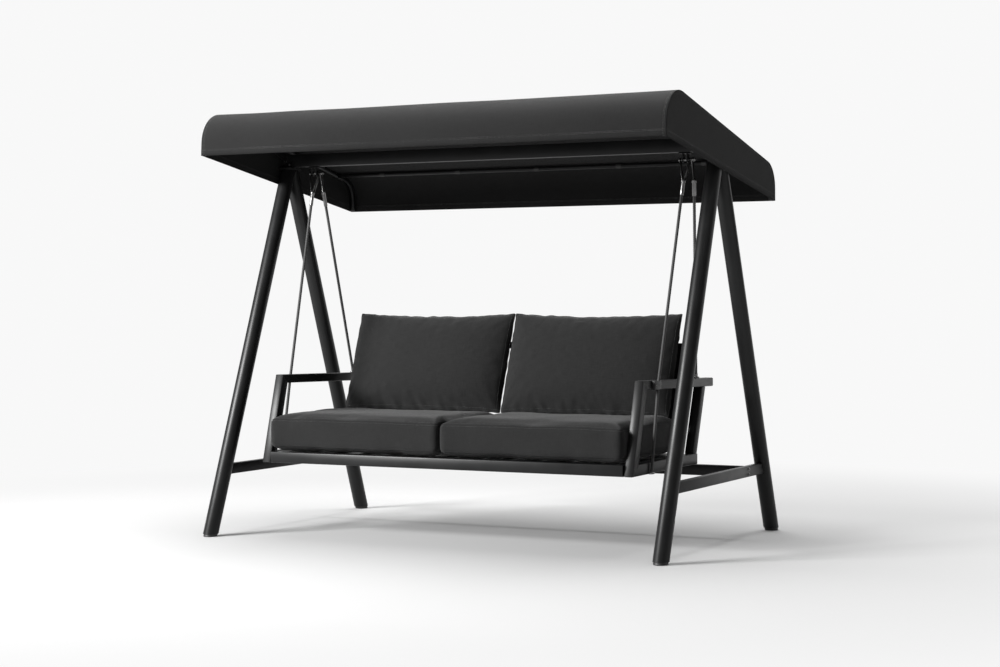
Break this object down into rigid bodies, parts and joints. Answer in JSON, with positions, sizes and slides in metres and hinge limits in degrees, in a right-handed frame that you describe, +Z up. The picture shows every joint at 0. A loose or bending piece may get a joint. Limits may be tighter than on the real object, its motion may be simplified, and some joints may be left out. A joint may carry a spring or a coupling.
{
  "type": "canopy swing bench",
  "caption": "Free-standing garden swing: A-frame legs and top beam carry a rope-hung cushioned bench under a tilting fabric canopy.",
  "frame": {"origin": "on the floor, under the middle of the top beam and midway between the feet", "axes": "+X along the bench towards a sitter's left hand side, -Y the way the sitters face, +Z up"},
  "size_m": [2.2418, 1.3616, 1.8902],
  "materials": {
    "powder_coat": "matt black powder coat with a fine texture",
    "slatted_panel": "matt black powder coat",
    "hardware_steel": "satin stainless steel",
    "rope": "twisted dark synthetic rope",
    "black_plastic": "moulded black plastic",
    "canopy_cloth": "plain-woven charcoal polyester",
    "cushion_cloth": "basket-woven charcoal polyester"
  },
  "bodies": {
    "stand": {"apex_saddle_left": "powder_coat", "apex_saddle_right": "powder_coat", "foot_cap_front_left": "black_plastic", "foot_cap_front_right": "black_plastic", "foot_cap_rear_left": "black_plastic", "foot_cap_rear_right": "black_plastic", "hanger_bracket_left": "powder_coat", "hanger_bracket_right": "powder_coat", "hanger_pin_left": "hardware_steel", "hanger_pin_right": "hardware_steel", "leg_front_left": "powder_coat", "leg_front_right": "powder_coat", "leg_rear_left": "powder_coat", "leg_rear_right": "powder_coat", "rear_stretcher": "powder_coat", "side_crossbar_left": "powder_coat", "side_crossbar_right": "powder_coat", "tilt_pivot_left": "hardware_steel", "tilt_pivot_right": "hardware_steel", "top_beam": "powder_coat"},
    "canopy": {"canopy_arm_left": "powder_coat", "canopy_arm_right": "powder_coat", "canopy_bow_left": "powder_coat", "canopy_bow_right": "powder_coat", "canopy_cover": "canopy_cloth", "canopy_cross_tube_front": "powder_coat", "canopy_cross_tube_rear": "powder_coat"},
    "knob_left": {"tilt_knob_left": "black_plastic"},
    "knob_right": {"tilt_knob_right": "black_plastic"},
    "bench": {"armrest_left": "powder_coat", "armrest_right": "powder_coat", "back_cushion_left": "cushion_cloth", "back_cushion_right": "cushion_cloth", "back_hoop": "powder_coat", "back_panel": "slatted_panel", "front_post_left": "powder_coat", "front_post_right": "powder_coat", "front_rail": "powder_coat", "hanger_strap_rear_left": "hardware_steel", "hanger_strap_rear_right": "hardware_steel", "hanger_yoke_front_left": "hardware_steel", "hanger_yoke_front_right": "hardware_steel", "rear_post_left": "powder_coat", "rear_post_right": "powder_coat", "rear_rail": "powder_coat", "rope_clamp_front_left": "black_plastic", "rope_clamp_front_right": "black_plastic", "rope_eye_rear_left": "hardware_steel", "rope_eye_rear_right": "hardware_steel", "rope_front_left": "rope", "rope_front_right": "rope", "rope_lug_front_left": "hardware_steel", "rope_lug_front_right": "hardware_steel", "rope_rear_left": "rope", "rope_rear_right": "rope", "seat_cushion_left": "cushion_cloth", "seat_cushion_right": "cushion_cloth", "seat_deck": "slatted_panel", "side_rail_left": "powder_coat", "side_rail_right": "powder_coat"}
  },
  "joints": [
    {"name": "swing", "type": "hinge", "parent": "stand", "child": "bench", "pos_m": [0, 0, 1.647], "axis": [1, 0, 0], "range_deg": [-22, 22]},
    {"name": "canopy_tilt", "type": "hinge", "parent": "stand", "child": "canopy", "pos_m": [0, 0, 1.7083], "axis": [1, 0, 0], "range_deg": [-8, 16]},
    {"name": "knob_turn_left", "type": "hinge", "parent": "stand", "child": "knob_left", "pos_m": [-1.101, 0, 1.7083], "axis": [-1, 0, 0], "range_deg": [0, 270]},
    {"name": "knob_turn_right", "type": "hinge", "parent": "stand", "child": "knob_right", "pos_m": [1.101, 0, 1.7083], "axis": [1, 0, 0], "range_deg": [0, 270]}
  ]
}
